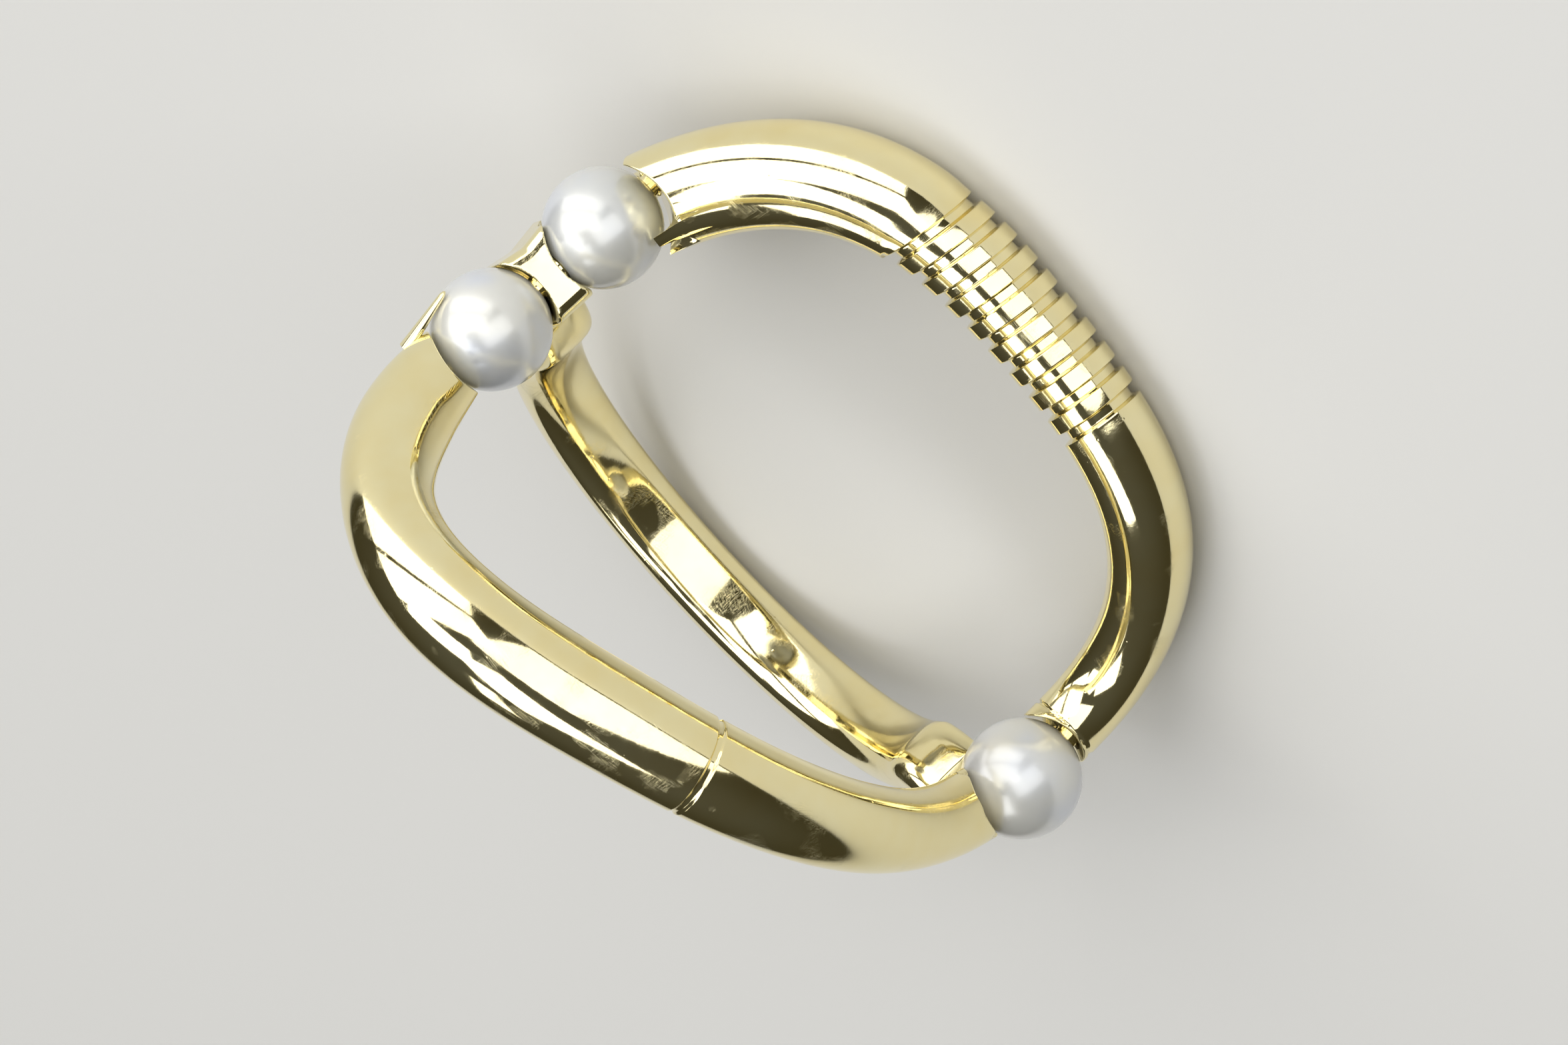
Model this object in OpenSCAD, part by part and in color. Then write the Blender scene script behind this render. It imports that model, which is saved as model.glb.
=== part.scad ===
// Pearl ring: two round, tapering gold tubes make a rounded frame that arches over the band's bore.
// A pair of pearls closes the frame on one side and a single pearl closes it on the other.
// The ring is built face up: X runs across the bore towards the single pearl, Y runs along the bore
// towards the ribbed tube, and Z points out of the face. It is then laid down on its ribbed side.

/* [Band] */
// Inner diameter of the band
bore_d = 17; // [16:0.1:18]
// Radial thickness of the band
band_t = 1.5; // [1.2:0.1:1.8]
// Width of the band along the bore
band_w = 2.5; // [2:0.1:3]
// Place of the band's middle along the bore
band_y = -0.5; // [-0.8:0.1:0.4]

/* [Frame] */
// Half of the frame's length across the bore, on the tubes' centre line
half_across = 11.2; // [11:0.1:11.8]
// Reach of the ribbed tube's centre line along the bore
ribbed_reach = 9.4; // [8.6:0.1:9.8]
// Reach of the plain tube's centre line along the bore
plain_reach = 9; // [8.2:0.1:9.2]
// Exponent of the rounded corners: 2 is an ellipse, more is squarer
squareness = 2.9; // [2.6:0.1:3.8]
// How much narrower the frame is at the single pearl
plan_taper = 0.21; // [0.1:0.01:0.26]
// How far the frame leans along the bore for each millimetre across it
plan_skew = 0.16; // [0:0.01:0.18]
// Height of the tubes' centre line over the bore
crest_z = 10.3; // [10.1:0.1:10.8]
// Height of the tubes' centre line at the pearls
side_z = 3.3; // [3.2:0.1:4.2]
// Share of the arch that is round, and not squared off
arch_round = 0.25; // [0.1:0.05:0.4]

/* [Ribs] */
// Number of grooves between and beside the ribs
groove_count = 9; // [5:1:9]
// Length of the ribbed stretch along the tube
ribbed_len = 8.4; // [6:0.1:9]
// Place of the ribbed stretch along the frame's centre line
ribbed_start = 14.3; // [13:0.1:15]
// Share of each rib's pitch that is groove
groove_share = 0.46; // [0.3:0.02:0.6]
// Depth of the grooves
groove_depth = 0.27; // [0.15:0.01:0.35]
// Angle that the ribs are turned from square across the tube
rib_slant = 5; // [0:1:8]

/* [Pearls] */
// Diameter of the pearls
pearl_d = 4; // [3.8:0.05:4.1]
// Distance between the centres of the paired pearls
pair_pitch = 4.95; // [4.8:0.05:5.1]
// Place of the single pearl along the bore
single_y = 0.8; // [0.4:0.1:1]
// How far the paired pearls lie inside the frame's centre line
pair_inset = 0.15; // [0:0.05:0.25]
// How far the single pearl lies outside the frame's centre line
single_outset = 0.25; // [0:0.05:0.3]
// Gap between a pearl and the gold
pearl_gap = 0.06; // [0.04:0.01:0.1]
// Radius of the hollow cut in the ribbed tube's end beside its paired pearl
ribbed_hollow_r = 2.15; // [2.12:0.01:2.35]
// Lean of that hollow cut, which lets the tube's end reach over its pearl
ribbed_hollow_lean = 10; // [0:1:12]
// Radius of the hollow cut in the plain tube's end beside its paired pearl
plain_hollow_r = 2.1; // [2.1:0.01:2.3]
// Diameter of the post that runs through the pearls
post_d = 0.8; // [0.7:0.05:1]
// Diameter of the hole drilled through a pearl
drill_d = 1; // [0.95:0.05:1.2]

/* [Hidden] */
$fn = 96;
gold = [0.85, 0.68, 0.33];
nacre = [0.93, 0.92, 0.90];

bore_r = bore_d / 2;
band_r = bore_r + band_t;
pearl_r = pearl_d / 2;
seat_r = pearl_r + pearl_gap;

// Centres of the pearls
pair_x = pair_inset - half_across;
ribbed_pearl = [pair_x, pair_pitch / 2, side_z];
plain_pearl = [pair_x, -pair_pitch / 2, side_z];
single_pearl = [half_across + single_outset, single_y, side_z];

// Tube radius along each tube, as columns of [share of the tube's length, radius]
ribbed_girth = [[0, 1.22], [0.15, 1.27], [0.3, 1.43], [0.5, 1.52], [0.75, 1.76], [1, 1.75]];
plain_girth = [[0, 1.22], [0.03, 1.4], [0.08, 1.56], [0.2, 1.5], [0.35, 1.72], [0.6, 1.68], [0.8, 1.46],
    [0.92, 1.27], [1, 1.23]];

// How far the tubes, before their hollow cuts, stop short of the centres of the pearls that they meet
ribbed_standoff = 1.8;
plain_standoff = 1.3;
single_standoff = 1.5;

// Engraved lines: one at each collar by the single pearl, and a seam part way along the plain tube
collar_len = 0.6;
collar_line_w = 0.2;
seam_place = 61.4;
seam_w = 0.3;
line_depth = 0.08;

// Sides of a tube's section, step between its plain sections, slope length of a cut's edge, and the
// bare lengths beside an engraved line and beside the ribs, where the sections turn to face as ribs do
tube_sides = 20;
section_step = 1.3;
edge_len = 0.08;
line_lead = 0.1;
rib_lead = 0.8;

// Frame's centre line, by the angle round it in plan
function plan_radius(angle, reach) =
    pow(pow(abs(cos(angle)) / half_across, squareness) + pow(abs(sin(angle)) / reach, squareness),
        -1 / squareness);
function arch_height(share) =
    crest_z - (crest_z - side_z) * (arch_round * pow(share, 2) + (1 - arch_round) * pow(share, 4));
function frame_point(angle) =
    let (r = plan_radius(angle, sin(angle) >= 0 ? ribbed_reach : plain_reach),
         x = r * cos(angle),
         y = r * sin(angle) * (1 - plan_taper * x / half_across) + plan_skew * x)
    [x, y, arch_height(min(abs(x) / half_across, 1))];

// Table of [length along the centre line, angle], which turns lengths into angles
angle_step = 2;
chords = [for (a = [angle_step:angle_step:360]) norm(frame_point(a) - frame_point(a - angle_step))];
function running(steps, i = 0, total = 0) =
    i > len(steps) ? [] : concat([total], running(steps, i + 1, total + (i < len(steps) ? steps[i] : 0)));
lengths = running(chords);
angle_of = [for (i = [0:len(chords)]) [lengths[i], i * angle_step]];
length_of = [for (row = angle_of) [row[1], row[0]]];
function at_length(s) = frame_point(lookup(s, angle_of));
function unit(v) = v / norm(v);
nearby = 0.05;
function heading(s) = unit(at_length(s + nearby) - at_length(s - nearby));

// The ribs are parallel, so every section of the ribbed stretch faces one way
rib_chord = unit(at_length(ribbed_start + ribbed_len) - at_length(ribbed_start));
rib_heading = [rib_chord[0] * cos(rib_slant) + rib_chord[1] * sin(rib_slant),
    rib_chord[1] * cos(rib_slant) - rib_chord[0] * sin(rib_slant), rib_chord[2]];
function section_heading(s) =
    s > ribbed_start - nearby && s < ribbed_start + ribbed_len + nearby ? rib_heading : heading(s);

// Length at which the centre line is a gap from a pearl's centre, searched between far and near
function stop_short(pearl, gap, far, near, tries = 18) =
    let (mid = (far + near) / 2)
    tries == 0 ? mid
    : norm(at_length(mid) - pearl) > gap ? stop_short(pearl, gap, mid, near, tries - 1)
    : stop_short(pearl, gap, far, mid, tries - 1);
ribbed_from = stop_short(single_pearl, single_standoff, lookup(30, length_of), lookup(2, length_of));
ribbed_to = stop_short(ribbed_pearl, ribbed_standoff, lookup(140, length_of), lookup(162, length_of));
plain_from = stop_short(plain_pearl, plain_standoff, lookup(210, length_of), lookup(184, length_of));
plain_to = stop_short(single_pearl, single_standoff, lookup(330, length_of), lookup(353, length_of));

// Sections of a tube, as rows of [place on the centre line, radius]
function girth(table, from, to, s) = lookup((s - from) / (to - from), table);
function plain_stretch(table, from, to, a, b) =
    let (n = max(1, round((b - a) / section_step)))
    [for (i = [0:n]) [a + (b - a) * i / n, girth(table, from, to, a + (b - a) * i / n)]];
function cut(table, from, to, a, width, depth) =
    [for (row = [[0, 0], [edge_len, depth], [width - edge_len, depth], [width, 0]])
        [a + row[0], girth(table, from, to, a + row[0]) - row[1]]];
pitch = ribbed_len / (groove_count - 1 + groove_share);
groove_w = pitch * groove_share;
ribs = [for (i = [0:groove_count - 1])
    each cut(ribbed_girth, ribbed_from, ribbed_to, ribbed_start + i * pitch, groove_w, groove_depth)];
ribbed_collar = ribbed_from + collar_len;
ribbed_sections = concat(
    [[ribbed_from, girth(ribbed_girth, ribbed_from, ribbed_to, ribbed_from)]],
    cut(ribbed_girth, ribbed_from, ribbed_to, ribbed_collar, collar_line_w, line_depth),
    plain_stretch(ribbed_girth, ribbed_from, ribbed_to,
        ribbed_collar + collar_line_w + line_lead, ribbed_start - rib_lead),
    ribs,
    plain_stretch(ribbed_girth, ribbed_from, ribbed_to, ribbed_start + ribbed_len + rib_lead, ribbed_to));
plain_collar = plain_to - collar_len - collar_line_w;
plain_sections = concat(
    plain_stretch(plain_girth, plain_from, plain_to, plain_from, seam_place - line_lead),
    cut(plain_girth, plain_from, plain_to, seam_place, seam_w, line_depth),
    plain_stretch(plain_girth, plain_from, plain_to,
        seam_place + seam_w + line_lead, plain_collar - line_lead),
    cut(plain_girth, plain_from, plain_to, plain_collar, collar_line_w, line_depth),
    [[plain_to, girth(plain_girth, plain_from, plain_to, plain_to)]]);

// Points of a tube, ring after ring, and the body that they bound
function ring_points(row) =
    let (t = section_heading(row[0]), up = unit([0, 0, 1] - t[2] * t), side = cross(up, t))
    [for (i = [0:tube_sides - 1])
        at_length(row[0]) + row[1] * (cos(360 * i / tube_sides) * side + sin(360 * i / tube_sides) * up)];
function tube_points(sections) = [for (row = sections) each ring_points(row)];
module tube(sections) {
    n = tube_sides;
    last = (len(sections) - 1) * n;
    first_cap = [for (i = [0:n - 1]) i];
    last_cap = [for (i = [n - 1:-1:0]) last + i];
    walls = [for (k = [0:len(sections) - 2], i = [0:n - 1])
        each [[k * n + i, (k + 1) * n + i, k * n + (i + 1) % n],
              [k * n + (i + 1) % n, (k + 1) * n + i, (k + 1) * n + (i + 1) % n]]];
    polyhedron(tube_points(sections), concat([first_cap, last_cap], walls));
}

// Resting place: the plane under the ribbed tube's lowest points at each side and the band's edge.
// Its normal is found by trying the plane through the three lowest points a few times over.
ribbed_cloud = tube_points(ribbed_sections);
plain_cloud = tube_points(plain_sections);
function lowest(points, n) =
    let (heights = [for (p = points) p * n], least = min(heights))
    points[search(least, heights)[0]];
function band_foot(n) =
    let (down = -unit([n[0], 0, n[2]])) [0, band_y + band_w / 2, 0] + band_r * down;
function settled(n, tries = 12) =
    tries == 0 ? n
    : let (a = lowest([for (p = ribbed_cloud) if (p[0] < 0) p], n),
           b = lowest([for (p = ribbed_cloud) if (p[0] > 0) p], n))
      settled(unit(cross(b - band_foot(n), a - band_foot(n))), tries - 1);
first_guess = unit([0, -2, 1]);
rest_up = settled(first_guess);
side_tilt = -asin(rest_up[0]);
lean = atan2(rest_up[2], -rest_up[1]);

// Directions of the resting frame, seen from the ring, and the ring's reach along one of them
rest_x = [-cos(side_tilt), sin(side_tilt) * cos(lean), -sin(side_tilt) * sin(lean)];
rest_y = cross(rest_up, rest_x);
function reach(d) = max(
    max([for (p = ribbed_cloud) p * d]), max([for (p = plain_cloud) p * d]),
    max([for (p = [ribbed_pearl, plain_pearl, single_pearl]) p * d + pearl_r]),
    d[2] < 0 ? [0, band_y + sign(d[1]) * band_w / 2, 0] * d + band_r * norm([d[0], d[2]]) : 0);
rest_centre = [(reach(rest_x) - reach(-rest_x)) / 2, (reach(rest_y) - reach(-rest_y)) / 2,
    -reach(-rest_up)];

module laid_down() {
    translate(-rest_centre) rotate([0, 0, 180]) rotate([0, side_tilt, 0]) rotate([lean - 90, 0, 0])
        children();
}

// Hollows that the three pearls lie in, open towards the face
module pearl_seats() {
    for (p = [ribbed_pearl, plain_pearl, single_pearl]) translate(p) {
        sphere(seat_r);
        cylinder(r = seat_r, h = pearl_d);
    }
}

// A tube with the hollow cuts at its ends, each given as [pearl, radius, lean]
module hollow_ended(cuts) {
    difference() {
        children();
        for (c = cuts) translate(c[0]) rotate([c[2], 0, 0])
            cylinder(r = c[1], h = 2 * pearl_d, center = true);
    }
}

// Band below the bore's middle, with its two arms that lean out to the pearls
lap = 0.01;
arm_root_z = -0.4;
arm_out = half_across + 0.75;
arm_in = half_across - 1.35;
arm_top = side_z - 1.1;
flare_steps = 6;
function flare(from, to, k) =
    [from + (to - from) * pow(k / flare_steps, 2), arm_root_z + (arm_top - arm_root_z) * k / flare_steps];
module band() {
    translate([0, band_y + band_w / 2, 0]) rotate([90, 0, 0]) linear_extrude(band_w) {
        difference() {
            circle(band_r);
            circle(bore_r);
            translate([-band_r - 1, 0]) square([2 * band_r + 2, band_r + 1]);
        }
        for (turn = [0, 1]) mirror([turn, 0]) polygon(concat(
            [for (k = [0:flare_steps]) flare(band_r - lap, arm_out, k)],
            [for (k = [flare_steps:-1:0]) flare(bore_r + lap, arm_in, k)]));
    }
}

// Double hollowed spacer between the paired pearls, wider on its outer edge
spacer_out = 1.5;
spacer_in = 1.35;
spacer_out_w = 2.6;
spacer_in_w = 1.5;
spacer_notch = 0.2;
spacer_drop = 1.9;
spacer_rise = 0.75;
module spacer() {
    translate([pair_x, 0, side_z - spacer_drop]) linear_extrude(spacer_drop + spacer_rise)
        polygon([[-spacer_out, -spacer_out_w / 2], [spacer_notch - spacer_out, 0],
            [-spacer_out, spacer_out_w / 2], [spacer_in, spacer_in_w / 2], [spacer_in, -spacer_in_w / 2]]);
}

// Curved bar under a pearl, from one gold end to the other, open above
cradle_t = 0.6;
cradle_w = 1.1;
cradle_drop = 1;
cradle_drop_ribbed = 0.12;
module cradle(pearl, far_drop) {
    translate(pearl) difference() {
        rotate([0, 90, 0]) cylinder(r = seat_r + cradle_t, h = cradle_w, center = true);
        translate([-cradle_w, -pearl_d, -cradle_drop]) cube([2 * cradle_w, pearl_d, 2 * pearl_d]);
        translate([-cradle_w, -0.01, -far_drop]) cube([2 * cradle_w, pearl_d, 2 * pearl_d]);
    }
}

// Small tapering claw that runs from the plain tube's end up the outer side of its pearl
claw_foot = [-1.45, -2.35, 0.1];
claw_tip = [-1.95, -0.5, 0.7];
claw_foot_r = 0.28;
claw_tip_r = 0.12;
module claw() {
    translate(plain_pearl) difference() {
        hull() {
            translate(claw_foot) sphere(claw_foot_r, $fn = 24);
            translate(claw_tip) sphere(claw_tip_r, $fn = 24);
        }
        sphere(seat_r);
    }
}

// Small bead of gold in a notch at the inner corner of the ribbed tube's end
bead_place = [1.69, 1.63, 0.6];
bead_r = 0.3;
notch_r = 0.52;
notch_sink = 0.2;
module bead() {
    translate(ribbed_pearl + bead_place) sphere(bead_r, $fn = 32);
}
module notch() {
    translate(ribbed_pearl + bead_place - [0, 0, notch_sink]) cylinder(r = notch_r, h = pearl_d, $fn = 48);
}

// Posts that the pearls are threaded on, which run a little way into the tubes' ends
post_in = 0.5;
post_turn = 20;
module post(pearl, before, after) {
    translate(pearl - [0, before + post_in, 0]) rotate([-90, 0, 0]) rotate(post_turn)
        cylinder(d = post_d, h = before + after + 2 * post_in);
}
module posts() {
    post(plain_pearl, plain_hollow_r, pair_pitch + ribbed_hollow_r);
    post(single_pearl, seat_r, seat_r);
}

module gold_mount() {
    color(gold) laid_down() union() {
        difference() {
            hollow_ended([[ribbed_pearl, ribbed_hollow_r, ribbed_hollow_lean], [single_pearl, seat_r, 0]])
                tube(ribbed_sections);
            notch();
        }
        hollow_ended([[plain_pearl, plain_hollow_r, 0], [single_pearl, seat_r, 0]]) tube(plain_sections);
        difference() {
            union() {
                band();
                spacer();
                cradle(ribbed_pearl, cradle_drop_ribbed);
                for (p = [plain_pearl, single_pearl]) cradle(p, cradle_drop);
            }
            pearl_seats();
        }
        claw();
        bead();
        posts();
    }
}

module pearl(place) {
    color(nacre) laid_down() translate(place) difference() {
        sphere(pearl_r);
        rotate([90, 0, 0]) cylinder(d = drill_d, h = pearl_d + 1, center = true);
    }
}
module pearl_ribbed_side() pearl(ribbed_pearl);
module pearl_plain_side() pearl(plain_pearl);
module pearl_single() pearl(single_pearl);

gold_mount();
pearl_ribbed_side();
pearl_plain_side();
pearl_single();
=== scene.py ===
"""Pearl ring: a ribbed and a plain tube of polished gold close on three pearls, over a half-round band.

The ring lies on its ribbed side. Its pieces are worked out in the ring's own axes, in millimetres:
X across the bore towards the single pearl, Y along the bore towards the ribbed tube, and Z out of the
ring's face. Each piece is then put where the frame's pearls say that the ring lies.
"""

import math

import bmesh
import bpy
import numpy as np
from bpy.props import FloatProperty, FloatVectorProperty, IntProperty, PointerProperty
from mathutils import Matrix, Vector


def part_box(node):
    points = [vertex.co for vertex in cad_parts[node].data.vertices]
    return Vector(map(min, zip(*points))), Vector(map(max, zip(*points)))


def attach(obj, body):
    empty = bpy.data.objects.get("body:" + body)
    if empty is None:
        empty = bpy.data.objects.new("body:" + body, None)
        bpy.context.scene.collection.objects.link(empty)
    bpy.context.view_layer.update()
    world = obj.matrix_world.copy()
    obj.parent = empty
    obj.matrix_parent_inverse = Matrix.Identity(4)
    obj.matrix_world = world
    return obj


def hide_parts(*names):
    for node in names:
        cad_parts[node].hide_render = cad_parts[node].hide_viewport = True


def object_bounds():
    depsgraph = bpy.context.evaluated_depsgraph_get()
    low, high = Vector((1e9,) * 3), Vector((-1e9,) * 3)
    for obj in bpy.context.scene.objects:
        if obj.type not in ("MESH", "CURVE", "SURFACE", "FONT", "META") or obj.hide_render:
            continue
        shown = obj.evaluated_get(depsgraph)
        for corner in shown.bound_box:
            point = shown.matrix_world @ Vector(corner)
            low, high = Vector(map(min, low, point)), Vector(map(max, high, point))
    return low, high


bl_info = {
    "name": "Pearl Ring",
    "version": (1, 0, 0),
    "blender": (4, 5, 0),
    "location": "3D View > Sidebar > Pearl Ring",
    "description": "Builds a gold ring of ribbed and plain tube that is set with three pearls",
    "category": "Object",
}

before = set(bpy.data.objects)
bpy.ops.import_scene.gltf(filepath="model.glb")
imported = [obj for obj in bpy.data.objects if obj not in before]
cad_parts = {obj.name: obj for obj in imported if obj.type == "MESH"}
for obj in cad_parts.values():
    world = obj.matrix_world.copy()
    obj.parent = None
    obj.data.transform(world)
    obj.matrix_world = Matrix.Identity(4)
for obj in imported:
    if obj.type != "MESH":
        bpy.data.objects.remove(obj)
CAD_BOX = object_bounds()
MM = 0.001
MOUNT, NACRE_SLOT, GOLD_SLOT, GOLD_NAME = "gold_mount", "nacre", "polished_gold", "Polished Gold"
PEARL_NODES = ("pearl_ribbed_side", "pearl_plain_side", "pearl_single")


def unit(v):
    """Vectors of length one, for one vector or for rows of them."""
    return v / np.linalg.norm(v, axis=-1, keepdims=True)


def pearl_middle(node):
    """Middle of a pearl in the frame, in millimetres."""
    low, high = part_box(node)
    return np.array(low + high) / (2 * MM)


RIBBED_MIDDLE, PLAIN_MIDDLE, SINGLE_MIDDLE = (pearl_middle(node) for node in PEARL_NODES)
PAIR_MIDDLE = (RIBBED_MIDDLE + PLAIN_MIDDLE) / 2
SPAN = SINGLE_MIDDLE - PAIR_MIDDLE
ALONG = unit(RIBBED_MIDDLE - PLAIN_MIDDLE)
ACROSS = unit(SPAN - (SPAN @ ALONG) * ALONG)
OUTWARD = np.cross(ACROSS, ALONG)
PAIR_PITCH = float(np.linalg.norm(RIBBED_MIDDLE - PLAIN_MIDDLE))
PAIR_INSET, SINGLE_OUTSET = 0.15, 0.25
HALF_ACROSS = float(SPAN @ ACROSS + PAIR_INSET - SINGLE_OUTSET) / 2
SINGLE_ALONG = float(SPAN @ ALONG)
PEARL_D = float(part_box(PEARL_NODES[2])[1].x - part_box(PEARL_NODES[2])[0].x) / MM


def length(name, description, value):
    """A length property, given in millimetres and kept in metres."""
    return FloatProperty(
        name=name, description=description, default=value * MM, unit="LENGTH", precision=5
    )


def tilt(name, description, degrees):
    """An angle property, given in degrees and kept in radians."""
    return FloatProperty(
        name=name, description=description, default=math.radians(degrees), subtype="ANGLE"
    )


def tint(name, description, value):
    """A colour property, in linear red, green and blue."""
    return FloatVectorProperty(
        name=name, description=description, default=value, subtype="COLOR", min=0, max=1
    )


class RingSizes(bpy.types.PropertyGroup):
    half_across: length("Half Across", "Half of the frame's length across the bore", HALF_ACROSS)
    ribbed_reach: length("Ribbed Reach", "Reach of the ribbed tube's centre line along the bore", 9.4)
    plain_reach: length("Plain Reach", "Reach of the plain tube's centre line along the bore", 9)
    crest: length("Crest", "Height of the tubes' centre line over the bore", 10.3)
    side: length("Side", "Height of the tubes' centre line at the pearls", 3.3)
    squareness: FloatProperty(
        name="Squareness", description="Exponent of the frame's rounded corners", default=2.9
    )
    plan_taper: FloatProperty(
        name="Taper", description="How much narrower the frame is at the single pearl", default=0.21
    )
    plan_skew: FloatProperty(
        name="Skew", description="How far the frame leans along the bore", default=0.16
    )
    arch_round: FloatProperty(
        name="Round Arch", description="Share of the arch that is round", default=0.25, subtype="FACTOR"
    )
    bore: length("Bore", "Inner diameter of the band", 17)
    band_t: length("Band Thickness", "Radial thickness of the band", 1.5)
    band_w: length("Band Width", "Width of the band along the bore", 2.5)
    band_y: length("Band Place", "Place of the band's middle along the bore", -0.5)
    pearl_gap: length("Pearl Gap", "Gap between a pearl and the gold", 0.06)
    ribbed_hollow: length("Ribbed Hollow", "Radius of the hollow cut in the ribbed tube's end", 2.15)
    hollow_lean: tilt("Hollow Lean", "Lean of that cut, which lets the end reach over its pearl", 10)
    plain_hollow: length("Plain Hollow", "Radius of the hollow cut in the plain tube's end", 2.1)
    post_d: length("Post", "Diameter of the post through the pearls", 0.8)
    drill_d: length("Drill", "Diameter of the hole through a pearl", 1)


class RibSizes(bpy.types.PropertyGroup):
    count: IntProperty(name="Grooves", description="Grooves beside and between the ribs", default=9)
    start: length("Start", "Place of the first groove along the centre line", 14.3)
    span: length("Length", "Length of the ribbed stretch", 8.4)
    depth: length("Depth", "Depth of the grooves", 0.27)
    edge: length("Edge", "Width of a groove's rounded edge", 0.1)
    uneven: length("Unevenness", "How far a groove strays from its place", 0.022)
    share: FloatProperty(
        name="Groove Share", description="Share of a rib's pitch that is groove", default=0.46,
        subtype="FACTOR",
    )
    slant: tilt("Slant", "Angle that the ribs are turned from square", 5)


class RingFinish(bpy.types.PropertyGroup):
    gold: tint("Gold", "Colour of the polished gold", (0.92, 0.835, 0.51))
    deep_gold: tint("Deep Gold", "Colour of the gold where it has a warmer cast", (0.89, 0.765, 0.40))
    nacre: tint("Nacre", "Main colour of the pearls", (0.65, 0.65, 0.62))
    overtone: tint("Overtone", "Cool colour that drifts over the pearls", (0.57, 0.60, 0.67))


class StageSetup(bpy.types.PropertyGroup):
    lens: length("Lens", "Focal length of the camera", 186.4)
    distance: length("Camera Distance", "Distance from the camera to the ring", 260)
    tip: tilt("Tip", "Angle that the camera is tipped along the bore", 10.465)
    turn: tilt("Turn", "Angle that the camera is turned across the bore", 7.275)
    roll: tilt("Roll", "Angle that the camera is rolled", -41.45)
    floor: tint("Floor", "Colour of the floor", (0.62, 0.615, 0.60))


def smooth_step(share):
    """Share from 0 to 1 with a soft start and end."""
    share = np.clip(share, 0, 1)
    return share * share * (3 - 2 * share)


class SoftTable:
    """Smooth curve through rows of [place, value], flat past its ends."""

    def __init__(self, rows):
        self.x, self.y = np.array(rows, float).T
        self.slopes = np.gradient(self.y, self.x)

    def __call__(self, places):
        places = np.clip(places, self.x[0], self.x[-1])
        k = np.clip(np.searchsorted(self.x, places) - 1, 0, len(self.x) - 2)
        width = self.x[k + 1] - self.x[k]
        t = (places - self.x[k]) / width
        start = self.y[k] * (1 + 2 * t) * (1 - t) ** 2 + self.slopes[k] * width * t * (1 - t) ** 2
        end = self.y[k + 1] * t * t * (3 - 2 * t) + self.slopes[k + 1] * width * t * t * (t - 1)
        return start + end


class CentreLine:
    """Centre line of the frame's tubes, by its length round from the single pearl."""

    ANGLES = np.linspace(0, 2 * math.pi, 5761)
    NEARBY = 0.05

    def __init__(self, sizes):
        self.half = sizes.half_across / MM
        self.reaches = sizes.ribbed_reach / MM, sizes.plain_reach / MM
        self.crest, self.side = sizes.crest / MM, sizes.side / MM
        self.power, self.taper, self.skew = sizes.squareness, sizes.plan_taper, sizes.plan_skew
        self.round = sizes.arch_round
        steps = np.linalg.norm(np.diff(self.point(self.ANGLES), axis=0), axis=1)
        self.lengths = np.concatenate([[0], np.cumsum(steps)])
        self.ribbed_pearl = np.array([PAIR_INSET - self.half, PAIR_PITCH / 2, self.side])
        self.plain_pearl = np.array([PAIR_INSET - self.half, -PAIR_PITCH / 2, self.side])
        self.single_pearl = np.array([self.half + SINGLE_OUTSET, SINGLE_ALONG, self.side])

    def point(self, angle):
        reach = np.where(np.sin(angle) >= 0, *self.reaches)
        shares = abs(np.cos(angle)) / self.half, abs(np.sin(angle)) / reach
        r = (shares[0] ** self.power + shares[1] ** self.power) ** (-1 / self.power)
        x = r * np.cos(angle)
        y = r * np.sin(angle) * (1 - self.taper * x / self.half) + self.skew * x
        u = np.minimum(abs(x) / self.half, 1)
        z = self.crest - (self.crest - self.side) * (self.round * u**2 + (1 - self.round) * u**4)
        return np.stack([x, y, z], -1)

    def at(self, place):
        return self.point(np.interp(place, self.lengths, self.ANGLES))

    def heading(self, place):
        return unit(self.at(place + self.NEARBY) - self.at(place - self.NEARBY))

    def place_near(self, pearl, gap, far, near):
        """Place where the line is a gap from a pearl's middle, between two angles in degrees."""
        far, near = np.interp(np.radians([far, near]), self.ANGLES, self.lengths)
        for _ in range(40):
            middle = (far + near) / 2
            if np.linalg.norm(self.at(middle) - pearl) > gap:
                far = middle
            else:
                near = middle
        return middle


class HollowCut:
    """Round cut through a tube's end beside a pearl, upright or leaning, with the notch beside it."""

    def __init__(self, pearl, radius, lean=0.0, notch=None):
        self.pearl, self.radius, self.notch = pearl, radius, notch
        c, s = math.cos(lean), math.sin(lean)
        self.turn = np.array([[1, 0, 0], [0, c, -s], [0, s, c]])


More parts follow.
